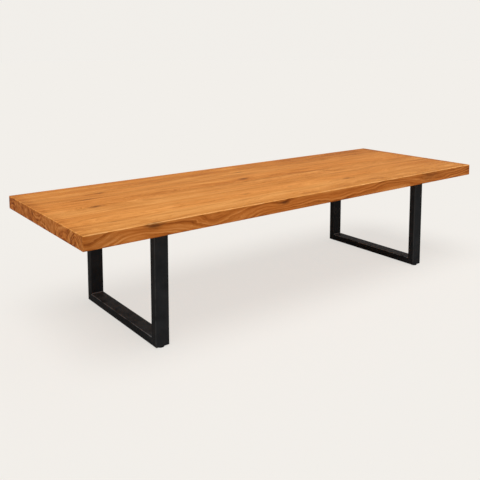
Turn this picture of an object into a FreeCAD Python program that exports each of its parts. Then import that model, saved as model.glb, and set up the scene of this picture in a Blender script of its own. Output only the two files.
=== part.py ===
import FreeCAD, Part
import math
import os

# Refectory table: a thick plank top on two mitred box-section steel leg frames.
# Frame: X runs along the table, Y across it (front is -Y), Z is up.
# The origin is on the floor under the middle of the top. All sizes are in millimetres.

# Top
table_length = 3300.0
table_width = 1120.0
table_height = 760.0
top_thickness = 80.0
board_count = 6
top_corner_radius = 5.0
upper_edge_radius = 4.0
lower_edge_radius = 2.0

# Loose tongues that line the boards up inside their glue joints
tongue_thickness = 12.0
tongue_width = 40.0
tongue_end_distance = 60.0
tongue_clearance = 0.15

# Leg frames
frame_width = 900.0
frame_end_distance = 460.0
tube_width = 90.0
tube_depth = 50.0
tube_wall = 3.0
tube_corner_radius = 6.0
plate_thickness = 8.0

# Bolts, washers and threaded inserts that hold each leg plate to the top
bolts_per_row = 4
bolt_post_distance = 100.0
bolt_edge_distance = 20.0
bolt_diameter = 8.0
bolt_engagement = 25.0
bolt_head_flats = 13.0
bolt_head_height = 5.3
bolt_slot_travel = 8.0
bolt_hole_clearance = 0.5
bolt_thread_clearance = 0.1
washer_diameter = 24.0
washer_thickness = 2.0
insert_diameter = 16.0
insert_length = 30.0
insert_seat_clearance = 0.1
insert_hole_spare = 2.0

# Channel stiffeners let into the underside, with their screws
stiffener_length = 900.0
stiffener_spacing = 570.0
stiffener_width = 50.0
stiffener_depth = 25.0
stiffener_wall = 4.0
stiffener_clearance = 0.3
screws_per_stiffener = 4
screw_end_distance = 150.0
screw_diameter = 6.0
screw_length = 30.0
screw_head_diameter = 12.0
screw_head_height = 3.6
screw_slot_travel = 8.0
screw_hole_clearance = 0.5
screw_pilot_clearance = 0.1

# Levelling feet
foot_post_inset = 25.0
pad_diameter = 44.0
pad_thickness = 4.5
pad_edge_radius = 1.2
stud_diameter = 10.0
stud_length = 45.0
collar_flats = 17.0
collar_height = 3.2
collar_pad_gap = 0.3
spigot_diameter = 8.0
spigot_depth = 3.0
nut_diameter = 13.0
nut_length = 18.0
nut_flange_diameter = 18.0
nut_flange_thickness = 1.0
nut_seat_clearance = 0.1
running_clearance = 0.06

# Levels and places worked out from the sizes above
underside = table_height - top_thickness
plate_bottom = underside - plate_thickness
collar_bottom = pad_thickness + collar_pad_gap
collar_top = collar_bottom + collar_height
frame_bottom = collar_top + nut_flange_thickness
board_width = table_width / board_count
frame_outer_x = table_length / 2 - frame_end_distance
frame_middle_x = frame_outer_x - tube_width / 2
post_middle_y = frame_width / 2 - tube_depth / 2
foot_y = frame_width / 2 - foot_post_inset
post_inner_y = frame_width / 2 - tube_depth

SIDES = {"left": -1, "right": 1}
ENDS = {"front": -1, "back": 1}
STIFFENERS = {"left": -1, "middle": 0, "right": 1}
UP = FreeCAD.Vector(0, 0, 1)


def block(low, high):
    """A box between two opposite corners."""
    size = [b - a for a, b in zip(low, high)]
    return Part.makeBox(*size, FreeCAD.Vector(*low))


def rod(x, y, low, high, diameter):
    """An upright cylinder."""
    return Part.makeCylinder(diameter / 2, high - low, FreeCAD.Vector(x, y, low), UP)


def hexagon(x, y, low, high, flats):
    """An upright six-sided prism with the given width across its flats."""
    corner = flats / 2 / math.cos(math.pi / 6)
    turns = [math.pi / 3 * i for i in range(7)]
    points = [FreeCAD.Vector(x + corner * math.cos(a), y + corner * math.sin(a), low) for a in turns]
    return Part.Face(Part.makePolygon(points)).extrude(UP * (high - low))


def slot(x, y, low, high, width, travel):
    """An upright slot with round ends that runs along Y."""
    middle = block((x - width / 2, y - travel / 2, low), (x + width / 2, y + travel / 2, high))
    ends = [rod(x, y + side * travel / 2, low, high, width) for side in (-1, 1)]
    return middle.fuse(ends).removeSplitter()


def prism_along_x(points, low, high):
    """A prism with the given outline of Y and Z points, between two X values."""
    corners = [FreeCAD.Vector(low, y, z) for y, z in points + points[:1]]
    return Part.Face(Part.makePolygon(corners)).extrude(FreeCAD.Vector(high - low, 0, 0))


def edges_along(shape, axis):
    """The straight edges that run along one axis: 0, 1 or 2 for X, Y or Z."""
    found = []
    for edge in shape.Edges:
        first, last = edge.Vertexes[0].Point, edge.Vertexes[-1].Point
        run = [abs(b - a) for a, b in zip(first, last)]
        if run[axis] > 0.5 * sum(run):
            found.append(edge)
    return found


def edges_at_height(shape, height):
    """The edges that lie flat at one height."""
    tolerance = 1e-6
    return [
        edge
        for edge in shape.Edges
        if abs(edge.BoundBox.ZMin - height) < tolerance and abs(edge.BoundBox.ZMax - height) < tolerance
    ]


def spread(count, half):
    """Evenly spaced places from -half to half."""
    return [-half + 2 * half * i / (count - 1) for i in range(count)]


def box_section(low, high, axis):
    """A box-section tube that fills the given box, open at both ends of one axis."""
    outer = block(low, high)
    outer = outer.makeFillet(tube_corner_radius, edges_along(outer, axis))
    inner_low = [v if i == axis else v + tube_wall for i, v in enumerate(low)]
    inner_high = [v if i == axis else v - tube_wall for i, v in enumerate(high)]
    inner = block(inner_low, inner_high)
    inner = inner.makeFillet(tube_corner_radius - tube_wall, edges_along(inner, axis))
    return outer.cut(inner)


# Places of the repeated fasteners
bolt_rows = [side * (tube_width / 2 - bolt_edge_distance) for side in (-1, 1)]
bolt_columns = spread(bolts_per_row, post_inner_y - bolt_post_distance)
screw_columns = spread(screws_per_stiffener, stiffener_length / 2 - screw_end_distance)


def bolt_places(side):
    return [(side * frame_middle_x + row, column) for row in bolt_rows for column in bolt_columns]


def screw_places(side):
    return [(side * stiffener_spacing, column) for column in screw_columns]


# Top

def whole_top():
    """The top as one slab, with its eased edges."""
    low = (-table_length / 2, -table_width / 2, underside)
    high = (table_length / 2, table_width / 2, table_height)
    slab = block(low, high)
    slab = slab.makeFillet(top_corner_radius, edges_along(slab, 2))
    slab = slab.makeFillet(upper_edge_radius, edges_at_height(slab, table_height))
    return slab.makeFillet(lower_edge_radius, edges_at_height(slab, underside))


def tongue(joint_y, clearance):
    """A loose tongue in one glue joint. Its groove is the same shape with a clearance."""
    middle = underside + top_thickness / 2
    half_length = table_length / 2 - tongue_end_distance + clearance
    half_width = tongue_width / 2 + clearance
    half_thickness = tongue_thickness / 2 + clearance
    low = (-half_length, joint_y - half_width, middle - half_thickness)
    high = (half_length, joint_y + half_width, middle + half_thickness)
    return block(low, high)


def channel(x, clearance):
    """A channel with its web flush with the underside. Its housing is the same shape with a clearance."""
    half_length = stiffener_length / 2 + clearance
    half_width = stiffener_width / 2 + clearance
    wall = stiffener_wall + clearance
    top = underside + stiffener_depth + clearance
    core = half_width - wall - clearance
    whole = block((x - half_width, -half_length, underside), (x + half_width, half_length, top))
    middle = block((x - core, -half_length, underside + wall), (x + core, half_length, top))
    return whole.cut(middle)


def insert_hole(x, y):
    depth = max(insert_length, bolt_engagement) + insert_hole_spare
    return rod(x, y, underside, underside + depth, insert_diameter + 2 * insert_seat_clearance)


def screw_hole(x, y):
    return rod(x, y, underside, underside + screw_length, screw_diameter + 2 * screw_pilot_clearance)


def boards():
    """The boards, front to back, cut from the slab and worked for all that goes into them."""
    joints = [-table_width / 2 + board_width * i for i in range(1, board_count)]
    cuts = [tongue(y, tongue_clearance) for y in joints]
    cuts += [channel(place * stiffener_spacing, stiffener_clearance) for place in STIFFENERS.values()]
    cuts += [insert_hole(*place) for side in SIDES.values() for place in bolt_places(side)]
    cuts += [screw_hole(*place) for side in STIFFENERS.values() for place in screw_places(side)]
    slab = whole_top()
    made = []
    for i in range(board_count):
        front = -table_width / 2 + board_width * i
        low = (-table_length / 2, front, underside)
        high = (table_length / 2, front + board_width, table_height)
        made.append(slab.common(block(low, high)).cut(cuts))
    return made, [tongue(y, 0.0) for y in joints]


def stiffener(x, columns):
    """A steel channel with a slot for each screw, so that the boards can swell and shrink."""
    width = screw_diameter + 2 * screw_hole_clearance
    top = underside + stiffener_wall
    slots = [slot(x, y, underside, top, width, screw_slot_travel) for y in columns]
    return channel(x, 0.0).cut(slots)


def screw(x, y):
    head = rod(x, y, underside - screw_head_height, underside, screw_head_diameter)
    upper_edges = edges_at_height(head, underside - screw_head_height)
    head = head.makeFillet(screw_head_height / 2, upper_edges)
    return head.fuse(rod(x, y, underside, underside + screw_length, screw_diameter)).removeSplitter()


# Leg frames

def post(side, end):
    """An upright tube, mitred at the bottom to meet the foot rail."""
    x = side * frame_middle_x
    y = end * post_middle_y
    low = (x - tube_width / 2, y - tube_depth / 2, frame_bottom)
    high = (x + tube_width / 2, y + tube_depth / 2, plate_bottom)
    outline = [
        (end * frame_width / 2, frame_bottom),
        (end * frame_width / 2, plate_bottom),
        (end * post_inner_y, plate_bottom),
        (end * post_inner_y, frame_bottom + tube_depth),
    ]
    return box_section(low, high, 2).common(prism_along_x(outline, low[0], high[0]))


def foot_rail(side):
    """The tube along the floor, mitred at both ends and bored for the levelling feet."""
    x = side * frame_middle_x
    low = (x - tube_width / 2, -frame_width / 2, frame_bottom)
    high = (x + tube_width / 2, frame_width / 2, frame_bottom + tube_depth)
    outline = [
        (-frame_width / 2, frame_bottom),
        (frame_width / 2, frame_bottom),
        (post_inner_y, frame_bottom + tube_depth),
        (-post_inner_y, frame_bottom + tube_depth),
    ]
    rail = box_section(low, high, 1).common(prism_along_x(outline, low[0], high[0]))
    hole = nut_diameter + 2 * nut_seat_clearance
    holes = [rod(x, end * foot_y, frame_bottom, frame_bottom + tube_wall, hole) for end in ENDS.values()]
    return rail.cut(holes)


def top_plate(side):
    """The flat bar on top of the posts, slotted for the bolts."""
    x = side * frame_middle_x
    low = (x - tube_width / 2, -frame_width / 2, plate_bottom)
    high = (x + tube_width / 2, frame_width / 2, underside)
    plate = block(low, high)
    plate = plate.makeFillet(tube_corner_radius, edges_along(plate, 2))
    width = bolt_diameter + 2 * bolt_hole_clearance
    return plate.cut([slot(*place, plate_bottom, underside, width, bolt_slot_travel) for place in bolt_places(side)])


def washer(x, y):
    low = plate_bottom - washer_thickness
    hole = rod(x, y, low, plate_bottom, bolt_diameter + 2 * bolt_hole_clearance)
    return rod(x, y, low, plate_bottom, washer_diameter).cut(hole)


def bolt(x, y):
    seat = plate_bottom - washer_thickness
    head = hexagon(x, y, seat - bolt_head_height, seat, bolt_head_flats)
    return head.fuse(rod(x, y, seat, underside + bolt_engagement, bolt_diameter)).removeSplitter()


def threaded_insert(x, y):
    bore = rod(x, y, underside, underside + insert_length, bolt_diameter + 2 * bolt_thread_clearance)
    return rod(x, y, underside, underside + insert_length, insert_diameter).cut(bore)


# Levelling feet

def foot_pad(x, y):
    """The round pad on the floor, with a socket for the stud's spigot."""
    pad = rod(x, y, 0.0, pad_thickness, pad_diameter)
    rims = edges_at_height(pad, 0.0) + edges_at_height(pad, pad_thickness)
    pad = pad.makeFillet(pad_edge_radius, rims)
    socket = rod(x, y, pad_thickness - spigot_depth, pad_thickness, spigot_diameter + 2 * running_clearance)
    return pad.cut(socket)


def foot_stud(x, y):
    """The threaded stud: a spigot in the pad, a six-sided collar for a spanner, and the thread above."""
    spigot = rod(x, y, pad_thickness - spigot_depth, collar_bottom, spigot_diameter)
    collar = hexagon(x, y, collar_bottom, collar_top, collar_flats)
    thread = rod(x, y, collar_top, collar_top + stud_length, stud_diameter)
    return collar.fuse([spigot, thread]).removeSplitter()


def foot_nut(x, y):
    """The flanged nut set in the foot rail. Its flange stops the stud's collar."""
    flange = rod(x, y, collar_top, frame_bottom, nut_flange_diameter)
    barrel = rod(x, y, frame_bottom, frame_bottom + nut_length, nut_diameter)
    bore = rod(x, y, collar_top, frame_bottom + nut_length, stud_diameter + 2 * running_clearance)
    return flange.fuse(barrel).cut(bore).removeSplitter()


# All the pieces by name

def all_pieces():
    pieces = {}
    top_boards, tongues = boards()
    for i, board in enumerate(top_boards, 1):
        pieces[f"top_board_{i}"] = board
    for i, shape in enumerate(tongues, 1):
        pieces[f"loose_tongue_{i}"] = shape
    for name, place in STIFFENERS.items():
        places = screw_places(place)
        pieces[f"{name}_stiffener"] = stiffener(place * stiffener_spacing, screw_columns)
        pieces[f"{name}_stiffener_screws"] = Part.makeCompound([screw(*p) for p in places])
    for name, side in SIDES.items():
        places = bolt_places(side)
        for end_name, end in ENDS.items():
            pieces[f"{name}_{end_name}_post"] = post(side, end)
        pieces[f"{name}_foot_rail"] = foot_rail(side)
        pieces[f"{name}_top_plate"] = top_plate(side)
        pieces[f"{name}_plate_bolts"] = Part.makeCompound([bolt(*p) for p in places])
        pieces[f"{name}_plate_washers"] = Part.makeCompound([washer(*p) for p in places])
        pieces[f"{name}_plate_inserts"] = Part.makeCompound([threaded_insert(*p) for p in places])
        for end_name, end in ENDS.items():
            place = (side * frame_middle_x, end * foot_y)
            pieces[f"{name}_{end_name}_foot_pad"] = foot_pad(*place)
            pieces[f"{name}_{end_name}_foot_stud"] = foot_stud(*place)
            pieces[f"{name}_{end_name}_foot_nut"] = foot_nut(*place)
    return pieces


os.makedirs("parts", exist_ok=True)
for piece_name, piece_shape in all_pieces().items():
    piece_shape.exportStep(f"parts/{piece_name}.step")
    solids = len(piece_shape.Solids)
    print(f"{piece_name}: {solids} solid(s), {piece_shape.Volume / 1000:.1f} cm3, valid {piece_shape.isValid()}")
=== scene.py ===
# %% [markdown]
# # A refectory table
#
# The object is a long dining table: a thick top of oiled boards on two leg frames of black steel tube.
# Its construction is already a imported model, with every piece at its real size in metres. This lesson
# dresses that model: it gives each piece the finish of the real one, and swaps the plain fasteners for
# threaded ones. Nothing that the model carries is moved.

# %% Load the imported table
import math
from types import SimpleNamespace

import bmesh
import bpy
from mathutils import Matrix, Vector


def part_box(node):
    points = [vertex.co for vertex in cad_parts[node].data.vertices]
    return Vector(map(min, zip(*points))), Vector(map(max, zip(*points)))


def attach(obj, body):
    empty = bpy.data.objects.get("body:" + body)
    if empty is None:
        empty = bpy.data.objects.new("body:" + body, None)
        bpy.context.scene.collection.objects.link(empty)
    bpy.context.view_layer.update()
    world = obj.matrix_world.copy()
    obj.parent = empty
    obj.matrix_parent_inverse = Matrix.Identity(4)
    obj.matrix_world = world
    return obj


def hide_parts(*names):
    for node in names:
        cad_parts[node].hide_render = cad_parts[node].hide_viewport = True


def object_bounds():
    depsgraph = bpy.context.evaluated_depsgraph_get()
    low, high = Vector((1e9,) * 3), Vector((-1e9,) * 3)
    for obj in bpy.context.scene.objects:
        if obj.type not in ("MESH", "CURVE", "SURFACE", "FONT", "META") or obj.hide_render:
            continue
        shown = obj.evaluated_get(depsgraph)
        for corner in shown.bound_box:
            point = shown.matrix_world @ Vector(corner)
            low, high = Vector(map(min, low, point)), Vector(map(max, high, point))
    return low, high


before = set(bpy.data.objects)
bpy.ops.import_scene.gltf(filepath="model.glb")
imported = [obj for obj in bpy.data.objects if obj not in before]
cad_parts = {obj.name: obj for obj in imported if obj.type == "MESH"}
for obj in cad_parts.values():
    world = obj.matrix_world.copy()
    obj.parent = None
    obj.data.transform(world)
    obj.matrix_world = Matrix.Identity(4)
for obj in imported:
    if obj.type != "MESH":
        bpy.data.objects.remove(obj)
cad_low, cad_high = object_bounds()
print("pieces:", len(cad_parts), "size in metres:", [round(v, 3) for v in cad_high - cad_low])

# %% [markdown]
# ## The camera
#
# A product photographer keeps the back of the camera nearly upright, so that table legs stay upright in
# the picture, and slides the lens down to bring the table into the frame. Blender's camera does the
# same with its shift. A tilted camera with no shift would make the legs lean.

# %% Set the camera
eye = Vector((-2.863, -3.396, 1.641))
lens_mm = 47.22
tilt_down = math.radians(6.38)
turn = math.radians(-37.56)
lens_slide = -0.24

camera = bpy.data.objects.new("camera", bpy.data.cameras.new("camera"))
bpy.context.collection.objects.link(camera)
camera.location = eye
camera.rotation_euler = (math.pi / 2 - tilt_down, 0.0, turn)
camera.data.sensor_width = 36.0
camera.data.lens = lens_mm
camera.data.shift_y = lens_slide
bpy.context.scene.camera = camera
print("camera", round((eye - Vector((0.0, 0.0, 0.4))).length, 2), "m from the table")

# %% [markdown]
# ## Building finishes from nodes
#
# Every finish here is worked out by shader nodes, with no pictures. A few small helpers keep that
# readable: one adds a node and fills its sockets, one does a step of arithmetic, and one starts a finish.

# %% Helpers for shader nodes
def add_node(tree, kind, inputs=(), **settings):
    """Add a node. An input is a socket of another node, or a plain value."""
    made = tree.nodes.new(kind)
    for name, value in settings.items():
        setattr(made, name, value)
    for socket, value in dict(inputs).items():
        if isinstance(value, bpy.types.NodeSocket):
            tree.links.new(value, made.inputs[socket])
        else:
            made.inputs[socket].default_value = value
    return made


def calc(tree, operation, *values):
    """One step of arithmetic on sockets or numbers."""
    return add_node(tree, "ShaderNodeMath", enumerate(values), operation=operation).outputs[0]


def new_finish(name):
    """A material with an empty Principled shader, its node tree and that shader."""
    material = bpy.data.materials.new(name)
    material.use_nodes = True
    return material, material.node_tree, material.node_tree.nodes["Principled BSDF"]


print("node helpers ready")

# %% [markdown]
# ## The studio light
#
# The table stands in a soft room light under one very broad lamp. The world gives the room light, a little
# stronger from the front and the right, as from pale walls there. A sun with a wide angle stands in for
# the softbox overhead, because its light doesn't fade with distance, so the floor stays one tone out to
# the horizon. The camera sees plain pale paper behind the table, and so do reflections.

# %% Room light
paper = (0.884, 0.860, 0.822, 1.0)
lamp_white = (1.0, 0.99, 0.98)
room_level = 0.40
fill_light = (0.25, -0.29, 0.0)

scene = bpy.context.scene
scene.view_settings.view_transform = "Standard"


def seen_directly(tree):
    """1 for rays from the camera, and for those reflected in gloss or seen through glass."""
    light_path = add_node(tree, "ShaderNodeLightPath")
    rays = [light_path.outputs[n] for n in ("Is Camera Ray", "Is Glossy Ray", "Is Transmission Ray")]
    return calc(tree, "MAXIMUM", calc(tree, "MAXIMUM", rays[0], rays[1]), rays[2])


world = bpy.data.worlds.new("studio")
world.use_nodes = True
scene.world = world
tree = world.node_tree
tree.nodes.clear()
toward = add_node(tree, "ShaderNodeTexCoord").outputs["Generated"]
fill_inputs = {0: toward, 1: fill_light}
fill = add_node(tree, "ShaderNodeVectorMath", fill_inputs, operation="DOT_PRODUCT").outputs["Value"]
strength = calc(tree, "ADD", fill, room_level)
room = add_node(tree, "ShaderNodeBackground", {"Color": (*lamp_white, 1.0), "Strength": strength})
seen = add_node(tree, "ShaderNodeBackground", {"Color": paper, "Strength": 1.0})
light_inputs = {0: seen_directly(tree), 1: room.outputs[0], 2: seen.outputs[0]}
both = add_node(tree, "ShaderNodeMixShader", light_inputs)
add_node(tree, "ShaderNodeOutputWorld", {"Surface": both.outputs[0]})
print("room light", room_level)

# %% Overhead lamp
lamp_level = 2.05
lamp_spread = math.radians(45.0)
lamp_lean = (math.radians(8.0), math.radians(-15.0), 0.0)

lamp = bpy.data.objects.new("overhead_softbox", bpy.data.lights.new("overhead_softbox", "SUN"))
bpy.context.collection.objects.link(lamp)
lamp.data.energy = lamp_level
lamp.data.angle = lamp_spread
lamp.data.color = lamp_white
lamp.rotation_euler = lamp_lean
print("overhead lamp", lamp_level)

# %% [markdown]
# ## The floor
#
# The floor is one large sheet of the same paper. Seen by the camera, most of its colour comes from a plain
# glow, which keeps the table's shadow as faint as a studio full of soft light would.

# %% Paper floor
floor_half = 150.0
floor_glow = 0.76

sheet = bmesh.new()
bmesh.ops.create_grid(sheet, x_segments=1, y_segments=1, size=floor_half)
floor_mesh = bpy.data.meshes.new("floor")
sheet.to_mesh(floor_mesh)
sheet.free()
floor = bpy.data.objects.new("floor", floor_mesh)
bpy.context.collection.objects.link(floor)

material, tree, shader = new_finish("paper_floor")
shader.inputs["Base Color"].default_value = paper
shader.inputs["Roughness"].default_value = 0.9
shader.inputs["Specular IOR Level"].default_value = 0.0
glow = add_node(tree, "ShaderNodeEmission", {"Color": paper, "Strength": 1.0})
share = calc(tree, "MULTIPLY", seen_directly(tree), floor_glow)
mixed = add_node(tree, "ShaderNodeMixShader", {0: share, 1: shader.outputs[0], 2: glow.outputs[0]})
tree.links.new(mixed.outputs[0], tree.nodes["Material Output"].inputs["Surface"])
floor_mesh.materials.append(material)
print("floor", 2 * floor_half, "m across")

# %% [markdown]
# ## Oiled boards
#
# The top is six thick boards. A picture of wood pasted on each face would not agree along the edges, so
# the wood here is solid: each point of a board knows how far it lies from the heart of the tree that the
# board was sawn from. Growth rings are shells about that heart line. Where a face cuts them flat they show
# as arches, where it cuts them square they show as straight lines, and on the ends they show as arcs.
# The heart line wanders along the board, which is what makes the arches.

# %% Noise that follows the grain
def vector(tree, operation, *values):
    """One step of arithmetic on positions."""
    return add_node(tree, "ShaderNodeVectorMath", enumerate(values), operation=operation).outputs[0]


def grain_noise(tree, place, scale, detail, roughness=0.5):
    """Cloudy noise, about 0 to 1, with so many features to a metre."""
    inputs = {"Vector": place, "Scale": scale, "Detail": detail, "Roughness": roughness}
    return add_node(tree, "ShaderNodeTexNoise", inputs).outputs[0]


def streaks(tree, place, along, across, detail=2.0, roughness=0.5):
    """The same noise drawn out along the fibres, with so many features to a metre each way."""
    drawn = vector(tree, "MULTIPLY", place, (along, across, across))
    return grain_noise(tree, drawn, 1.0, detail, roughness)


def line_noise(tree, position, detail):
    """Noise that changes along a line, about 0 to 1."""
    inputs = {"W": position, "Scale": 1.0, "Detail": detail}
    return add_node(tree, "ShaderNodeTexNoise", inputs, noise_dimensions="1D").outputs[0]


def soft_step(tree, value, low, high):
    """0 at low, 1 at high, and smooth between them."""
    inputs = {"Value": value, "From Min": low, "From Max": high}
    return add_node(tree, "ShaderNodeMapRange", inputs, interpolation_type="SMOOTHSTEP").outputs[0]


def weigh(tree, total, part, weight):
    """The total, moved up or down by a noise that lies about a half."""
    return calc(tree, "MULTIPLY_ADD", calc(tree, "SUBTRACT", part, 0.5), weight, total)


print("grain helpers ready")

# %% [markdown]
# ### The heart line
#
# No tree is quite straight, so the heart line drifts from side to side and up and down along the board,
# and the grain has waves of its own. Both are added to the distance before any ring is drawn, so that the
# rings stay whole and never cross.

# %% Distance from the heart
def parts_of(tree, place):
    """The x, y and z of a place."""
    return add_node(tree, "ShaderNodeSeparateXYZ", {0: place}).outputs


def place_of(tree, parts):
    """A place from its x, y and z, with 0 for one that isn't given."""
    return add_node(tree, "ShaderNodeCombineXYZ", parts).outputs[0]


def length_of(tree, value):
    """How long a vector is."""
    return add_node(tree, "ShaderNodeVectorMath", {0: value}, operation="LENGTH").outputs["Value"]


def wander(tree, x, seed, pace, reach):
    """A slow drift along the board, from about -reach to reach."""
    noise = line_noise(tree, calc(tree, "MULTIPLY_ADD", x, pace, seed), 1.0)
    return calc(tree, "MULTIPLY", calc(tree, "SUBTRACT", noise, 0.5), 2.0 * reach)


def heart_distance(tree, place, own, heart, waves, seed):
    """How far a point lies from the heart line, with the grain's own waves, and which way."""
    x, y, z = parts_of(tree, place)
    heart_y = calc(tree, "ADD", heart[0], wander(tree, x, seed, 0.9, 0.035))
    heart_z = calc(tree, "ADD", heart[1], wander(tree, x, seed + 50.0, 1.3, 0.025))
    away = {1: calc(tree, "SUBTRACT", y, heart_y), 2: calc(tree, "SUBTRACT", z, heart_z)}
    radius = length_of(tree, place_of(tree, away))
    ripples = 0.010 + 0.1 * waves
    for along, across, reach in ((3.2, 9.0, waves), (7.0, 40.0, ripples), (18.0, 140.0, 0.003)):
        radius = weigh(tree, radius, streaks(tree, own, along, across), reach)
    return radius, calc(tree, "ARCTAN2", away[2], away[1])


print("heart line ready")

# %% [markdown]
# ### Growth rings
#
# The tree adds a ring each year: pale early wood, then dark late wood, with a sharp line after it. Some
# years are dark and some are faint, and runs of years differ too. The ends of the boards also show rays,
# thin pale lines that run out from the heart across the rings.

# %% Growth rings
ring_width = 0.0042


def growth_rings(tree, radius, seed):
    """Late wood, dark at the end of each year, and the slow change from one run of years to the next."""
    rings = calc(tree, "DIVIDE", radius, ring_width)
    year = calc(tree, "ADD", calc(tree, "FLOOR", rings), seed)
    vigour = add_node(tree, "ShaderNodeTexWhiteNoise", {"W": year}, noise_dimensions="1D").outputs["Value"]
    late = calc(tree, "POWER", calc(tree, "FRACT", rings), 2.0)
    late = calc(tree, "MULTIPLY", late, calc(tree, "MULTIPLY_ADD", vigour, 0.8, 0.3))
    era = line_noise(tree, calc(tree, "MULTIPLY_ADD", rings, 0.30, seed), 2.0)
    return late, era


def flowing_streaks(tree, place, radius, seed):
    """Streaks that run along the rings, so that they also sweep round the knots."""
    flow = {0: calc(tree, "ADD", parts_of(tree, place)[0], seed), 1: radius, 2: seed}
    return streaks(tree, place_of(tree, flow), 2.2, 80.0, 4.0, 0.62)


def ray_lines(tree, place, radius, direction):
    """The rays, which are long towards the heart and thin across it."""
    spread = {0: parts_of(tree, place)[0], 1: calc(tree, "MULTIPLY", radius, 0.12), 2: direction}
    return soft_step(tree, streaks(tree, place_of(tree, spread), 30.0, 150.0), 0.52, 0.66)


print("rings", round(ring_width * 1000, 1), "mm wide")

# %% [markdown]
# ### Knots and curls
#
# A knot is where a branch grew out through the board. It is dark and hard, and the rings sweep round it.
# So each knot is an ellipsoid drawn out along the grain: near it the distance from the heart is pushed
# outwards, which bends the rings, and in its core the wood turns dark. A curl in the grain is the same
# push with no dark core, and a patch of darker wood is a faint core with no push.

# %% Knots and curls
knot_ragged = 2.2
knot_rim = 1.5
sweep_reach = (0.32, 0.5, 0.5)
sweep_fall = 0.3


def knot_fields(tree, place, own, knots):
    """How many rings are pushed aside at each point, how far it darkens, and where the dark cores are."""
    ragged = streaks(tree, own, 22.0, 90.0, 3.0)
    pushed, swept, core = 0.0, 0.0, 0.0
    for centre, reach, depth, rings in knots:
        apart = vector(tree, "SUBTRACT", place, centre)
        shape = vector(tree, "MULTIPLY", apart, [1.0 / r for r in reach])
        distance = weigh(tree, length_of(tree, shape), ragged, knot_ragged)
        dark = calc(tree, "MULTIPLY", soft_step(tree, distance, knot_rim, 0.0), depth)
        core = calc(tree, "MAXIMUM", core, dark)
        wide = length_of(tree, vector(tree, "MULTIPLY", shape, sweep_reach))
        bell = calc(tree, "POWER", sweep_fall, calc(tree, "MULTIPLY", wide, wide))
        pushed = calc(tree, "MULTIPLY_ADD", bell, rings, pushed)
        swept = calc(tree, "MAXIMUM", swept, calc(tree, "MULTIPLY", bell, depth))
    return pushed, swept, core


print("rings bend over", round(1.0 / sweep_reach[0], 1), "times the length of a knot")

# %% [markdown]
# ### Faces, ends and edges
#
# The sanded upper face stays golden. The long edges and the ends get a painted shade, darker and redder than
# the upper face, and the end grain drinks the oil in blotches. It soaks in there, so the last few
# centimetres of the other faces are darker, and all the boards darken a little towards the root of the tree,
# on the right.
# The sharp upper edges are paler, rubbed by hands and cloths and with a painted highlight, and the lower
# edges get a painted shade. A face is told apart by the way it points, and an edge by being near two faces
# at once.

# %% Masks for faces, ends and edges
# A band this wide along each edge. The upper edges are paler, rubbed and with a painted highlight, and the
# lower edges get a painted shade.
edge_band = 0.006
end_edge_share = 0.4
soak_length = 0.090
root_from, root_to = -0.8, 1.4
half_length = cad_high.x
half_width = cad_high.y
surface = cad_high.z
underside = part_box("top_board_1")[0].z
board_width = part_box("top_board_1")[1].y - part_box("top_board_1")[0].y


def edge_masks(tree, place):
    """1 on the paler upper edges, rubbed and highlit, the shaded lower edges, the soaked ends, the root end
    and the glue lines.
    """
    x, y, z = parts_of(tree, place)
    off_end = calc(tree, "SUBTRACT", half_length, calc(tree, "ABSOLUTE", x))
    off_side = calc(tree, "SUBTRACT", half_width, calc(tree, "ABSOLUTE", y))
    off_top = calc(tree, "SUBTRACT", surface, z)
    off_under = calc(tree, "SUBTRACT", z, underside)
    gaps = (off_end, off_side, off_top, off_under)
    near_end, near_side, near_top, near_under = [soft_step(tree, gap, edge_band, 0.001) for gap in gaps]
    long_edge = calc(tree, "MULTIPLY", near_side, near_top)
    end_edge = calc(tree, "MULTIPLY", near_end, near_top)
    # Paler upper edges: rubbed, and a painted highlight.
    rubbed = calc(tree, "MAXIMUM", long_edge, calc(tree, "MULTIPLY", end_edge, end_edge_share))
    # Painted shade along the lower edges of the long edges and the ends.
    lower = calc(tree, "MULTIPLY", near_under, calc(tree, "MAXIMUM", near_end, near_side))
    soaked = soft_step(tree, off_end, soak_length, 0.0)
    root_end = soft_step(tree, x, root_from, root_to)
    off_joint = calc(tree, "PINGPONG", y, board_width / 2)
    return rubbed, lower, soaked, root_end, soft_step(tree, off_joint, 0.0010, 0.0003)


def facing_masks(tree, normal):
    """1 on the long edges and ends, and 1 on the ends alone."""
    facing = [calc(tree, "ABSOLUTE", part) for part in parts_of(tree, normal)]
    return soft_step(tree, facing[2], 0.8, 0.3), soft_step(tree, facing[0], 0.5, 0.85)


print("top", round(2 * half_length, 3), "by", round(2 * half_width, 3), "m")

# %% [markdown]
# ### The marks of one board
#
# This gathers all that shows in the wood of one board. Each board has a seed of its own, which takes its
# noise from another place, so that no two boards are alike. The rings and knots stay where they were put.

# %% Marks of a board
seed_start = 12.3
seed_step = 17.3


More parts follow.
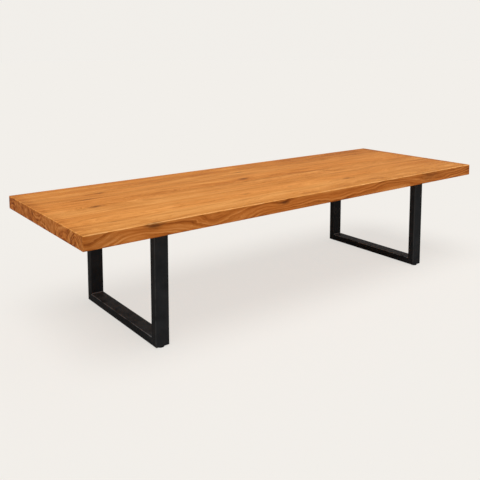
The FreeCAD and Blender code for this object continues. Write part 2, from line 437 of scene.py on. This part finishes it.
def board_marks(tree, number, heart, waves, knots):
    """Everything that shows in one board, each mark from about 0 to 1."""
    coords = add_node(tree, "ShaderNodeTexCoord")
    place = coords.outputs["Object"]
    seed = seed_step * number + seed_start
    own = vector(tree, "ADD", place, (seed, 1.7 * seed, 0.6 * seed))
    marks = SimpleNamespace()
    pushed, marks.swept, marks.core = knot_fields(tree, place, own, knots)
    radius, direction = heart_distance(tree, place, own, heart, waves, seed)
    radius = calc(tree, "MULTIPLY_ADD", pushed, ring_width, radius)
    marks.late, marks.era = growth_rings(tree, radius, seed)
    marks.side, marks.end = facing_masks(tree, coords.outputs["Normal"])
    marks.long_edge = calc(tree, "SUBTRACT", marks.side, marks.end)
    marks.rubbed, marks.lower, marks.soaked, marks.root_end, marks.glue = edge_masks(tree, place)
    marks.rays = calc(tree, "MULTIPLY", ray_lines(tree, place, radius, direction), marks.end)
    marks.broad = streaks(tree, own, 0.60, 8.0, 3.0)
    marks.narrow = streaks(tree, own, 3.2, 36.0, 4.0, 0.62)
    marks.flowing = flowing_streaks(tree, place, radius, seed)
    marks.fibre = streaks(tree, own, 7.0, 420.0, 3.0, 0.6)
    marks.pores = soft_step(tree, streaks(tree, own, 38.0, 850.0, 1.0), 0.62, 0.74)
    marks.blotch = grain_noise(tree, own, 30.0, 3.0)
    marks.warm = streaks(tree, own, 0.8, 14.0)
    return marks


print("first seed", seed_start + seed_step)

# %% [markdown]
# ### The tone of one board
#
# All those marks add up to one number, the tone, which runs from dark late wood to pale early wood. A noise
# moves it both ways about the middle. A mark moves it one way, darker or paler. The long edges and the ends
# show the rings more than the upper face does, so some weights depend on the face.

# %% Tone of a board
middle_tone = 0.60


def board_tone(tree, marks, tone):
    """The tone of each point, with the board's own share added."""
    level = middle_tone + tone
    edge_years = calc(tree, "MULTIPLY_ADD", marks.long_edge, 0.65, 0.25)
    soaked_blotches = calc(tree, "MULTIPLY", marks.soaked, 0.4)
    for noise, weight in (
        (marks.broad, 0.48),
        (marks.narrow, 0.52),
        (marks.flowing, calc(tree, "MULTIPLY_ADD", marks.long_edge, 0.36, 0.54)),
        (marks.era, calc(tree, "MULTIPLY_ADD", marks.end, 0.75, edge_years)),
        (marks.fibre, 0.30),
        (marks.blotch, calc(tree, "MULTIPLY_ADD", marks.end, 0.95, soaked_blotches)),
    ):
        level = weigh(tree, level, noise, weight)
    for mark, change in (
        (marks.late, calc(tree, "MULTIPLY_ADD", marks.long_edge, -0.04, -0.22)),
        (marks.rays, 0.10),
        (marks.pores, -0.16),
        (marks.swept, -0.16),
        # Paler upper edges: rubbed, and a painted highlight.
        (marks.rubbed, 0.42),
        (calc(tree, "MULTIPLY", marks.soaked, calc(tree, "SUBTRACT", 1.0, marks.end)), -0.14),
        # Painted shade along the lower edges.
        (marks.lower, -0.25),
        (marks.root_end, -0.08),
        (calc(tree, "MULTIPLY", marks.glue, calc(tree, "SUBTRACT", 1.0, marks.side)), -0.22),
    ):
        level = calc(tree, "MULTIPLY_ADD", mark, change, level)
    return level


print("middle tone", middle_tone)

# %% [markdown]
# ### Colour and relief from nodes
#
# A colour ramp turns a tone into colour, and a mix lays one colour over another where a mask says so. Relief
# that is too fine for the mesh is a bump, which only tilts the light on the surface. These three serve the
# wood here, and the steel, zinc, nylon and birch later.

# %% Helpers for colour and relief
def colour_ramp(tree, value, tones):
    """A colour for each value, blended between the tones."""
    ramp = add_node(tree, "ShaderNodeValToRGB", {0: value})
    stops = ramp.color_ramp.elements
    while len(stops) < len(tones):
        stops.new(0.5)
    for stop, (position, colour) in zip(stops, tones):
        stop.position = position
        stop.color = colour
    return ramp.outputs[0]


def mix_colour(tree, amount, first, second, blend="MIX"):
    """Two colours mixed by an amount from 0 to 1."""
    inputs = {0: amount, 6: first, 7: second}
    return add_node(tree, "ShaderNodeMix", inputs, data_type="RGBA", blend_type=blend).outputs[2]


def add_relief(tree, shader, height, strength, depth):
    """Fine relief that follows a height, so many metres deep."""
    bump = add_node(tree, "ShaderNodeBump", {"Strength": strength, "Distance": depth, "Height": height})
    tree.links.new(bump.outputs[0], shader.inputs["Normal"])


print("colour helpers ready")

# %% [markdown]
# ### The finish of one board
#
# The oil reddens some years, the long edges and the ends get a painted shade, and the cores of the knots
# go nearly black. The fibres also change the gloss, and with the pores and the late wood they give the
# surface its relief.

# %% Oiled wood
wood_tones = [
    (0.00, (0.150, 0.038, 0.007, 1.0)),
    (0.25, (0.398, 0.130, 0.023, 1.0)),
    (0.50, (0.615, 0.237, 0.050, 1.0)),
    (0.75, (0.785, 0.356, 0.098, 1.0)),
    (1.00, (0.920, 0.505, 0.190, 1.0)),
]
knot_colour = (0.075, 0.026, 0.009, 1.0)
knot_cover = 0.85
red_years = (1.0, 0.93, 0.84, 1.0)
# Painted shade: the long edges and the ends are darker and redder than the upper face, and the ends get a
# further painted tint.
side_shade = (0.72, 0.56, 0.465, 1.0)
end_shade = (1.0, 0.99, 0.90, 1.0)


def oiled_board(number, heart, waves, tone, redness, knots):
    """One board: the place of its tree's heart, its waves, its own tone and redness, and its knots."""
    material, tree, shader = new_finish(f"oiled_board_{number}")
    marks = board_marks(tree, number, heart, waves, knots)
    colour = colour_ramp(tree, board_tone(tree, marks, tone), wood_tones)
    warmth = soft_step(tree, calc(tree, "ADD", marks.warm, redness), 0.35, 0.65)
    # The painted shade of the long edges and the ends, kept off the paler upper edges.
    shaded_sides = calc(tree, "MULTIPLY", marks.side, calc(tree, "SUBTRACT", 1.0, marks.rubbed))
    for mask, tint in ((warmth, red_years), (shaded_sides, side_shade), (marks.end, end_shade)):
        colour = mix_colour(tree, mask, colour, mix_colour(tree, 1.0, colour, tint, "MULTIPLY"))
    colour = mix_colour(tree, calc(tree, "MULTIPLY", marks.core, knot_cover), colour, knot_colour)
    tree.links.new(colour, shader.inputs["Base Color"])

    rough = calc(tree, "MULTIPLY_ADD", marks.rubbed, -0.08, weigh(tree, 0.52, marks.fibre, 0.20))
    tree.links.new(rough, shader.inputs["Roughness"])
    shader.inputs["Specular IOR Level"].default_value = 0.015
    open_grain = calc(tree, "MULTIPLY_ADD", marks.pores, -0.6, marks.fibre)
    add_relief(tree, shader, calc(tree, "MULTIPLY_ADD", marks.late, -0.35, open_grain), 0.25, 0.0004)
    return material


print("wood tones:", len(wood_tones))

# %% [markdown]
# ## The six boards
#
# The front board was sawn with the heart of its tree not far below it, so its long edge cuts the rings
# aslant and shows long arches, with curls between the knots. The back board was sawn the same way and
# turned round. The others were sawn further from the heart, and one of them lies with its heart side up.
# Each heart is measured from the middle of its board. Each knot is measured from the middle of the table
# and, on an edge, down from the surface.

# %% Knots by their place on the board
knot_rings = 5.0
knot_down = 0.060
knot_in = 0.030
front_edge, back_edge = -half_width, half_width


def face_knot(x, y, length, width, depth):
    """A branch that comes up through the upper face, at most as dark as its depth."""
    return (x, y, surface), (length / 2, width / 2, knot_down), depth, knot_rings


def edge_knot(edge, x, below_surface, length, height, depth, rings=knot_rings):
    """A branch that comes out through a long edge."""
    return (x, edge, surface - below_surface), (length / 2, knot_in, height / 2), depth, rings


def edge_curl(edge, x, below_surface, length, height, rings):
    """A curl in the grain of a long edge, with no branch in it."""
    return edge_knot(edge, x, below_surface, length, height, 0.0, rings)


def edge_patch(edge, x, below_surface, length, height, depth):
    """A patch of darker wood on a long edge, with its rings unbent."""
    return edge_knot(edge, x, below_surface, length, height, depth, 0.0)


print("a knot reaches", knot_down, "m down from the face or", knot_in, "m in from an edge")

# %% Dress the boards
boards = [
    {"heart": (-0.030, -0.070), "waves": 0.050, "tone": 0.03, "redness": -0.12, "knots": [
        edge_knot(front_edge, -1.249, 0.014, 0.110, 0.034, 0.9),
        edge_knot(front_edge, -0.346, 0.022, 0.085, 0.030, 0.8),
        edge_knot(front_edge, 1.140, 0.030, 0.240, 0.070, 0.4),
        edge_patch(front_edge, -1.590, 0.050, 0.260, 0.120, 0.25),
        edge_curl(front_edge, -1.620, 0.060, 0.140, 0.080, 12.0),
        edge_curl(front_edge, -0.875, 0.070, 0.200, 0.090, 14.0),
        face_knot(-1.394, -0.403, 0.110, 0.016, 0.35),
    ]},
    {"heart": (-0.050, -0.110), "waves": 0.030, "tone": 0.02, "redness": 0.10, "knots": [
        face_knot(0.456, -0.341, 0.060, 0.030, 0.7),
        face_knot(-0.445, -0.310, 0.060, 0.020, 0.4),
        face_knot(-0.058, -0.304, 0.060, 0.020, 0.4),
    ]},
    {"heart": (0.060, -0.130), "waves": 0.030, "tone": 0.01, "redness": -0.06, "knots": [
        face_knot(-1.340, -0.038, 0.075, 0.034, 0.9),
    ]},
    {"heart": (-0.030, 0.120), "waves": 0.030, "tone": -0.02, "redness": 0.06, "knots": [
        face_knot(-1.314, 0.161, 0.130, 0.022, 0.7),
        face_knot(-0.154, 0.090, 0.070, 0.040, 0.9),
    ]},
    {"heart": (0.080, -0.090), "waves": 0.030, "tone": -0.06, "redness": -0.04, "knots": [
        face_knot(-1.165, 0.286, 0.090, 0.026, 0.6),
        face_knot(-0.031, 0.305, 0.110, 0.030, 0.5),
    ]},
    {"heart": (0.030, -0.070), "waves": 0.050, "tone": -0.11, "redness": 0.06, "knots": [
        edge_knot(back_edge, 0.720, 0.034, 0.100, 0.036, 0.8),
        edge_curl(back_edge, 1.240, 0.066, 0.180, 0.090, 13.0),
        edge_curl(back_edge, -0.260, 0.060, 0.160, 0.080, 12.0),
        edge_curl(back_edge, -1.180, 0.070, 0.200, 0.090, 14.0),
    ]},
]


def dress(node, material):
    """Give a carried-over piece one finish."""
    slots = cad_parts[node].data.materials
    slots.clear()
    slots.append(material)


for number, board in enumerate(boards, 1):
    node = f"top_board_{number}"
    low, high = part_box(node)
    heart = ((low.y + high.y) / 2 + board["heart"][0], (low.z + high.z) / 2 + board["heart"][1])
    dress(node, oiled_board(number, **{**board, "heart": heart}))
print("boards dressed:", len(boards))

# %% [markdown]
# ## Black powder coat
#
# The leg frames are powder-coated: a black skin, baked on, with little gloss and a very fine orange-peel
# texture. The texture is far too fine to model, so it is a bump with a slight change of gloss. The rounded
# corners of the tube carry a painted highlight, brightest on the upper corners, and the tops of the foot
# rails a painted sheen in patches. Both are found by the way they point: a corner lies between two flat
# sides. The black and the sheen lean a little blue, which offsets the warm light bounced from the wood.

# %% Powder coat
# The black leans a little blue, which offsets the warm light bounced from the wood.
coat_tones = [(0.25, (0.0135, 0.0142, 0.0152, 1.0)), (0.75, (0.0228, 0.0239, 0.0256, 1.0))]
# A painted sheen for upward faces, a little blue against the warm light from the wood.
rail_top_sheen = (0.054, 0.064, 0.074, 1.0)
# Painted highlights for the rounded corners, the paler one for corners that face up.
rubbed_coat = (0.042, 0.043, 0.044, 1.0)
upper_corner_highlight = (0.210, 0.222, 0.235, 1.0)


def powder_coat():
    """Black powder coat with painted highlights on its corners and a painted sheen on its upward faces."""
    material, tree, shader = new_finish("black_powder_coat")
    coords = add_node(tree, "ShaderNodeTexCoord")
    place = coords.outputs["Object"]
    peel = grain_noise(tree, place, 900.0, 2.0)
    cloud = grain_noise(tree, place, 14.0, 3.0)
    normal = parts_of(tree, coords.outputs["Normal"])
    facing = [calc(tree, "ABSOLUTE", part) for part in normal]
    flat = calc(tree, "MAXIMUM", calc(tree, "MAXIMUM", facing[0], facing[1]), facing[2])
    corner = calc(tree, "MULTIPLY", soft_step(tree, flat, 0.985, 0.88), soft_step(tree, cloud, 0.25, 0.55))
    upper = soft_step(tree, normal[2], 0.25, 0.55)
    # Painted sheen on upward faces, in patches.
    sheen_patches = calc(tree, "MULTIPLY", soft_step(tree, normal[2], 0.9, 1.0), soft_step(tree, cloud, 0.2, 0.6))
    tone = weigh(tree, cloud, peel, 0.9)
    shade = mix_colour(tree, sheen_patches, colour_ramp(tree, tone, coat_tones), rail_top_sheen)
    # The corners get a painted highlight, in patches, much paler where they face up.
    shade = mix_colour(tree, corner, shade, mix_colour(tree, upper, rubbed_coat, upper_corner_highlight))
    tree.links.new(shade, shader.inputs["Base Color"])
    rough = weigh(tree, weigh(tree, 0.40, cloud, 0.08), peel, 0.10)
    tree.links.new(calc(tree, "MULTIPLY_ADD", corner, -0.10, rough), shader.inputs["Roughness"])
    shader.inputs["Specular IOR Level"].default_value = 0.008
    add_relief(tree, shader, peel, 0.35, 0.0003)
    return material


coat = powder_coat()
steel_nodes = [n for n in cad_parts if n.endswith(("_post", "_foot_rail", "_top_plate", "_stiffener"))]
for node in steel_nodes:
    dress(node, coat)
print("powder-coated:", len(steel_nodes))

# %% [markdown]
# ## Turned and threaded pieces
#
# Bolts, screws, studs, nuts, washers and pads are all round about an upright axis, so each is built as a
# stack of rings from one end to the other. A ring's radius may change with the angle, which gives
# six-sided heads, lobed sockets and knurls. Where that change climbs from ring to ring it gives a screw
# thread. Blender's screw modifier could wind a thread too, but its ends would have to be sewn on by hand,
# while a stack of rings is closed as it is made. Sizes here are in millimetres, as on a drawing.

# %% Rings and skins
mm = 0.001
full_turn = 2.0 * math.pi


def ring(radius, height, count):
    """A closed ring of points. Its radius and height may be functions of the angle."""
    points = []
    for step in range(count):
        angle = full_turn * step / count
        r = radius(angle) if callable(radius) else radius
        h = height(angle) if callable(height) else height
        points.append(Vector((r * math.cos(angle), r * math.sin(angle), h)) * mm)
    return points


def turned(profile, count):
    """Plain rings from pairs of a radius and a height."""
    return [ring(radius, height, count) for radius, height in profile]


def add_skin(shell, rings, place, looped=False):
    """Join rings into one closed skin, with its ends capped or, for a piece with a bore, led back round."""
    rows = [[shell.verts.new(point + place) for point in points] for points in rings]
    following = rows[1:] + rows[:1] if looped else rows[1:]
    for lower, upper in zip(rows, following):
        for i, corner in enumerate(lower):
            j = (i + 1) % len(lower)
            shell.faces.new((corner, lower[j], upper[j], upper[i]))
    if not looped:
        shell.faces.new(rows[0])
        shell.faces.new(rows[-1])


print("ring helpers ready")

# %% [markdown]
# ### From a shell to a piece
#
# A shell becomes a piece with smooth shading that breaks at sharp edges, as on turned metal. The piece
# then rides on a body of the model, so that it moves with the model's joints, and takes the place of the
# plain solid that it stands for.

# %% Pieces
sharp_angle = math.radians(32.0)


def new_piece(name, shell, body, finish, stands_for=None):
    """Turn a finished shell into a piece that rides on a body."""
    bmesh.ops.recalc_face_normals(shell, faces=shell.faces)
    mesh = bpy.data.meshes.new(name)
    shell.to_mesh(mesh)
    shell.free()
    mesh.shade_smooth()
    mesh.set_sharp_from_angle(angle=sharp_angle)
    mesh.materials.append(finish)
    piece = bpy.data.objects.new(name, mesh)
    bpy.context.collection.objects.link(piece)
    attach(piece, body)
    if stands_for:
        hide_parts(stands_for)
    return piece


print("edges sharp past", round(math.degrees(sharp_angle)), "degrees")

# %% [markdown]
# ### Threads and six-sided heads
#
# A thread is a ridge that climbs by its pitch in one turn. Its crest and its root are blunt, and it fades
# out at both ends. A six-sided head is chamfered on a lathe, so a cone trims its corners and leaves a
# round face.

# %% Threads, hexagons and chamfers
rows_per_turn = 7
round_face = 0.48


def thread(low, high, major, minor, pitch, count):
    """Rings of a right-hand thread with blunt crests, which runs out at both ends."""
    steps = round((high - low) / pitch * rows_per_turn)

    def at(height):
        run_out = min(1.0, (height - low) / pitch, (high - height) / pitch)

        def radius(angle):
            phase = (height / pitch - angle / full_turn) % 1.0
            ridge = 1.5 * (1.0 - abs(2.0 * phase - 1.0)) - 0.25
            return minor + (major - minor) * run_out * min(1.0, max(0.0, ridge))

        return ring(radius, height, count)

    return [at(low + (high - low) * step / steps) for step in range(steps + 1)]


def six_sided(flats):
    """The radius of a hexagon with this width across its flats."""
    return lambda angle: flats / 2 / math.cos(angle % (math.pi / 3) - math.pi / 6)


def chamfer(flats, face, slope):
    """The height at which a cone trims the corners of a hexagon, from the height of its face."""
    corner = six_sided(flats)
    return lambda angle: face + slope * (corner(angle) - round_face * flats)


print("thread rows to a turn:", rows_per_turn)

# %% [markdown]
# ## Zinc plate and moulded nylon
#
# Bright zinc is a pale, slightly blue metal with a fine crystal grain. The pads are moulded in black nylon
# with a fine matt grain. Both finishes follow a fine noise and a broad one, at their own scale.

# %% Zinc and nylon
def speckled_finish(name, tones, scale, roughness, relief, metallic, specular):
    """A finish whose colour, gloss and relief all follow one fine grain and one broad cloud."""
    material, tree, shader = new_finish(name)
    place = add_node(tree, "ShaderNodeTexCoord").outputs["Object"]
    fine = grain_noise(tree, place, scale, 3.0)
    broad = grain_noise(tree, place, 0.09 * scale, 2.0)
    tone = weigh(tree, broad, fine, 0.8)
    tree.links.new(colour_ramp(tree, tone, tones), shader.inputs["Base Color"])
    rough = weigh(tree, weigh(tree, roughness, fine, 0.25), broad, 0.2)
    tree.links.new(rough, shader.inputs["Roughness"])
    shader.inputs["Metallic"].default_value = metallic
    shader.inputs["Specular IOR Level"].default_value = specular
    add_relief(tree, shader, fine, 0.3, relief)
    return material


zinc_tones = [(0.3, (0.44, 0.46, 0.48, 1.0)), (0.7, (0.66, 0.67, 0.67, 1.0))]
nylon_tones = [(0.3, (0.012, 0.012, 0.013, 1.0)), (0.7, (0.022, 0.022, 0.023, 1.0))]
zinc = speckled_finish("bright_zinc", zinc_tones, 900.0, 0.34, 0.00005, 1.0, 0.5)
nylon = speckled_finish("black_nylon", nylon_tones, 1400.0, 0.52, 0.0001, 0.0, 0.2)
print("finishes:", zinc.name, nylon.name)

# %% [markdown]
# ## Birch tongues
#
# The loose tongues inside the glue joints are birch plywood, so their colour changes from ply to ply
# through their thickness. They are hidden in the finished table, and show when it is taken apart.

# %% Birch plywood
ply_count = 9
ply_tones = [(0.0, (0.30, 0.17, 0.08, 1.0)), (1.0, (0.74, 0.56, 0.36, 1.0))]


def birch_ply(low, high):
    """Thin layers between two heights, one pale and one brown by turns, each with its own grain."""
    material, tree, shader = new_finish("birch_ply")
    place = add_node(tree, "ShaderNodeTexCoord").outputs["Object"]
    height = calc(tree, "SUBTRACT", parts_of(tree, place)[2], low)
    layer = calc(tree, "FRACT", calc(tree, "MULTIPLY", height, ply_count / (high - low) / 2))
    brown = calc(tree, "GREATER_THAN", layer, 0.5)
    fibre = streaks(tree, place, 9.0, 500.0, 3.0)
    level = calc(tree, "MULTIPLY_ADD", brown, -0.45, weigh(tree, 0.75, fibre, 0.9))
    tree.links.new(colour_ramp(tree, level, ply_tones), shader.inputs["Base Color"])
    tree.links.new(weigh(tree, 0.72, fibre, 0.3), shader.inputs["Roughness"])
    add_relief(tree, shader, fibre, 0.3, 0.0003)
    return material


tongue_low, tongue_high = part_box("loose_tongue_1")
birch = birch_ply(tongue_low.z, tongue_high.z)
tongues = [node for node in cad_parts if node.startswith("loose_tongue")]
for node in tongues:
    dress(node, birch)
print("tongues dressed:", len(tongues))

# %% [markdown]
# ## Bolts, washers and inserts
#
# Eight bolts hold each leg frame to the top. Each has a chamfered six-sided head on an eased washer, and
# screws into a steel insert with a coarse outer thread, set in the wood. The plate that they pass through
# gives their middle, and the places of the rows are those of its slots.

# %% Rings of a bolt, a washer and an insert
def bolt_rings():
    """A bolt, from the face of its head at the bottom to its tip. Height 0 is the seat of the head."""
    count, flats, head = 36, 13.0, 5.3
    corner = six_sided(flats)
    rings = [ring(round_face * flats, -head, count), ring(corner, chamfer(flats, -head, 0.58), count)]
    rings += [ring(corner, -0.4, count)] + turned([(6.1, -0.4), (6.1, 0.0), (3.4, 0.0)], count)
    return rings + thread(0.6, 34.3, 4.0, 3.35, 1.25, count) + [ring(2.8, 35.0, count)]


def washer_rings():
    """A stamped washer with one rounded edge. Height 0 is its lower face."""
    profile = [(4.5, 0.15), (4.65, 0.0), (11.4, 0.0), (11.8, 0.12), (12.0, 0.45)]
    profile += [(12.0, 1.85), (11.9, 2.0), (4.7, 2.0), (4.5, 1.8)]
    return turned(profile, 48)


def insert_rings():
    """A threaded insert. Height 0 is its face, level with the underside of the top."""
    count = 36
    mouth = turned([(4.1, 0.7), (4.8, 0.0), (7.0, 0.0)], count)
    far_end = turned([(6.6, 30.0), (4.6, 30.0), (4.1, 29.5)], count)
    return mouth + thread(0.5, 29.2, 8.0, 7.0, 3.0, count) + far_end


print("rings to a bolt:", len(bolt_rings()))

# %% Place the bolts, washers and inserts
bolt_rows = (-0.025, 0.025)
fixing_columns = (-0.3, -0.1, 0.1, 0.3)
for side in ("left", "right"):
    low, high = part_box(f"{side}_top_plate")
    middle_x = (low.x + high.x) / 2
    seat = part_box(f"{side}_plate_washers")[0].z
    for kind, rings, height, looped in (
        ("bolts", bolt_rings(), seat, False),
        ("washers", washer_rings(), seat, True),
        ("inserts", insert_rings(), underside, True),
    ):
        shell = bmesh.new()
        for row in bolt_rows:
            for column in fixing_columns:
                add_skin(shell, rings, Vector((middle_x + row, column, height)), looped)
        node = f"{side}_plate_{kind}"
        piece = new_piece(f"{side}_detailed_{kind}", shell, "table", zinc, node)
        print(piece.name, len(piece.data.polygons), "faces")

# %% [markdown]
# ## Stiffener screws
#
# Each steel channel in the underside is held by four pan-head wood screws, driven upwards through slots in
# line with the bolts. The head has a six-lobed socket, and the coarse thread ends in a point.

# %% Stiffener screws
def screw_rings():
    """A wood screw, from the bottom of its socket to its point. Height 0 is the seat of its head."""
    count, lobes = 36, 6

    def lobed(angle):
        return 1.9 + 0.35 * math.cos(lobes * angle)

    socket = [ring(lobed, -1.5, count), ring(lobed, -3.45, count)]
    dome = [(2.7, -3.6), (3.9, -3.5), (4.9, -3.1), (5.6, -2.4), (6.0, -1.5)]
    rim = [(6.0, -0.25), (5.8, 0.0), (2.3, 0.0)]
    point = [(1.5, 27.2), (0.3, 30.0)]
    head = socket + turned(dome + rim, count)
    return head + thread(0.5, 25.5, 3.0, 2.1, 2.6, count) + turned(point, count)


for name in ("left", "middle", "right"):
    low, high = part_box(f"{name}_stiffener")
    shell = bmesh.new()
    for column in fixing_columns:
        add_skin(shell, screw_rings(), Vector(((low.x + high.x) / 2, column, underside)))
    node = f"{name}_stiffener_screws"
    piece = new_piece(f"{name}_pan_head_screws", shell, "table", zinc, node)
    print(piece.name, len(piece.data.polygons), "faces")

# %% [markdown]
# ## Levelling feet
#
# Under each corner of the frames is a foot that screws in and out: a nylon pad, ribbed on top, a stud with
# a six-sided collar for a spanner, and a flanged nut set in the foot rail. The nut is a blind rivet nut,
# knurled where it grips the hole and swollen behind the wall of the tube. The stud turns in the pad and
# in the nut, so the stud and the pad ride on bodies of their own, and the nut rides with the table.

# %% Rings of a foot
def pad_rings():
    """A moulded pad, from its sole to the bottom of its socket. Height 0 is the floor."""
    count, grooves, ribs = 96, 24, 12

    def grip(angle):
        return 21.8 + 0.2 * math.cos(grooves * angle)

    def ribbed(angle):
        return 4.35 if (ribs * angle / full_turn) % 1.0 < 0.26 else 3.5

    sole = turned([(20.6, 0.0), (21.4, 0.3), (grip, 1.1), (grip, 3.4)], count)
    rim = turned([(21.2, 4.2), (20.6, 4.5), (19.4, 4.5), (19.0, 4.35)], count)
    dish = turned([(18.4, ribbed), (8.6, ribbed), (8.0, 4.4), (7.6, 4.5)], count)
    socket = turned([(4.5, 4.5), (4.06, 4.1), (4.06, 1.5)], count)
    return sole + rim + dish + socket


def stud_rings():
    """A levelling stud, from its spigot in the pad to its tip."""
    count, flats, low, high = 48, 17.0, 4.8, 8.0
    corner, face = six_sided(flats), round_face * flats
    spigot = [(3.5, 1.5), (4.0, 1.9), (4.0, 2.9), (3.6, 3.2), (3.6, 3.8), (4.0, 4.1), (4.0, low)]
    collar = [(face, low), (corner, chamfer(flats, low, 0.4))]
    collar += [(corner, chamfer(flats, high, -0.4)), (face, high)]
    rings = turned(spigot + collar + [(4.2, high)], count)
    return rings + thread(high + 0.3, 52.0, 5.0, 4.2, 1.5, count) + [ring(3.8, 53.0, count)]


def nut_rings():
    """A flanged rivet nut, from the mouth of its bore round the outside and back."""
    count, teeth = 72, 24

    def knurl(angle):
        return 6.38 + 0.12 * math.cos(teeth * angle)

    flange = [(5.06, 8.4), (5.4, 8.0), (8.6, 8.0), (9.0, 8.3), (9.0, 9.0)]
    neck = [(knurl, 9.0), (knurl, 11.9)]
    swelling = [(6.2, 12.1), (7.7, 12.1), (8.1, 13.0), (7.7, 14.0), (6.5, 15.2), (6.5, 26.6), (6.1, 27.0)]
    return turned(flange + neck + swelling + [(5.4, 27.0), (5.06, 26.6)], count)


print("rings to a stud:", len(stud_rings()))

# %% Place the four feet
corners = [(side, end) for side in ("left", "right") for end in ("front", "back")]
for side, end in corners:
    foot = f"{side}_{end}_foot"
    low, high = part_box(f"{foot}_pad")
    place = Vector(((low.x + high.x) / 2, (low.y + high.y) / 2, 0.0))
    for kind, rings, body, slot, finish, looped in (
        ("pad", pad_rings(), f"{foot}_pad", "foot_plastic", nylon, False),
        ("stud", stud_rings(), f"{foot}_stud", "zinc_steel", zinc, False),
        ("nut", nut_rings(), "table", "zinc_steel", zinc, True),
    ):
        shell = bmesh.new()
        add_skin(shell, rings, place, looped)
        new_piece(f"{side}_{end}_levelling_{kind}", shell, body, finish, f"{foot}_{kind}")
    print(foot, "at", round(place.x, 3), round(place.y, 3))

# %% [markdown]
# ## Weld beads
#
# The outer faces of the leg frames are ground flush, but a welder leaves the bead standing in the inner
# corners, where no grinder reaches: under the top plate and above the foot rail. A bead is a row of small
# overlapping ripples. A swept wedge with a ripple along its length shows that, and it is coated with the
# rest. It is sunk a little into both pieces, so that no gap shows beside it.

# %% Weld beads
bead_leg = 3.2
bead_length = 76.0
ripple_length = 2.4
ripple_height = 0.10
sunk = 0.3


def bead_rings(out, up):
    """Sections of a bead along X, in a corner that opens towards out (in Y) and up (in Z)."""
    steps = round(bead_length / ripple_length * 4)
    rings = []
    for step in range(steps + 1):
        along = bead_length * (step / steps - 0.5)
        ripple = 1.0 + ripple_height * math.cos(full_turn * along / ripple_length)
        taper = min(1.0, 0.35 + (bead_length / 2 - abs(along)) / 3.0)
        leg = bead_leg * ripple * taper
        section = [(-sunk, -sunk), (leg, -sunk), (0.72 * leg, 0.30 * leg), (0.55 * leg, 0.55 * leg)]
        section += [(0.30 * leg, 0.72 * leg), (-sunk, leg)]
        rings.append([Vector((along, out * a, up * b)) * mm for a, b in section])
    return rings


for side, end in corners:
    low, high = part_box(f"{side}_{end}_post")
    inward = 1 if end == "front" else -1
    inner_y = high.y if end == "front" else low.y
    rail_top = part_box(f"{side}_foot_rail")[1].z
    shell = bmesh.new()
    for level, up in ((rail_top, 1), (high.z, -1)):
        add_skin(shell, bead_rings(inward, up), Vector(((low.x + high.x) / 2, inner_y, level)))
    new_piece(f"{side}_{end}_weld_beads", shell, "table", coat)
print("beads with", len(bead_rings(1, 1)), "sections each")
